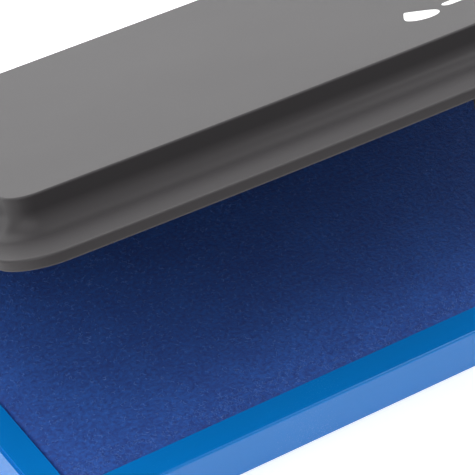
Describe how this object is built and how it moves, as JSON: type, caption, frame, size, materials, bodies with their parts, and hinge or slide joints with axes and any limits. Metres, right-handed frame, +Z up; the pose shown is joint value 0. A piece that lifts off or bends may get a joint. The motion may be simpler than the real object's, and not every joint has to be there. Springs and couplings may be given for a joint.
{
  "type": "ink pad",
  "caption": "Hinged-lid ink pad: a low rimmed plastic tray holding a cloth-covered felt pad, under a stepped lid that swings on pins at the back.",
  "frame": {"origin": "middle of the tray's underside, on the surface it rests on", "axes": "+X along the long side to the right seen from the front, +Y to the hinge side, +Z up"},
  "size_m": [0.1704, 0.1004, 0.0545],
  "materials": {
    "blue_plastic": "smooth moulded blue plastic with a soft gloss",
    "grey_plastic": "dark grey moulded plastic with a fine satin grain",
    "inked_cloth": "fine woven cloth soaked with dark blue ink",
    "inked_felt": "dense felt soaked with dark blue ink",
    "backing_card": "pressed board",
    "adhesive_foam": "thin double-sided foam tape",
    "pin_steel": "drawn steel wire"
  },
  "bodies": {
    "base": {"base_tray": "blue_plastic", "adhesive_sheet": "adhesive_foam", "backing_board": "backing_card", "felt_core": "inked_felt", "pad_cloth": "inked_cloth", "hinge_pin_left": "pin_steel", "hinge_pin_right": "pin_steel"},
    "lid": {"lid_shell": "grey_plastic"}
  },
  "joints": [
    {"name": "lid_hinge", "type": "hinge", "parent": "base", "child": "lid", "pos_m": [0, 0.0472, 0.0091], "axis": [-1, 0, 0], "range_deg": [-26, 88]}
  ]
}
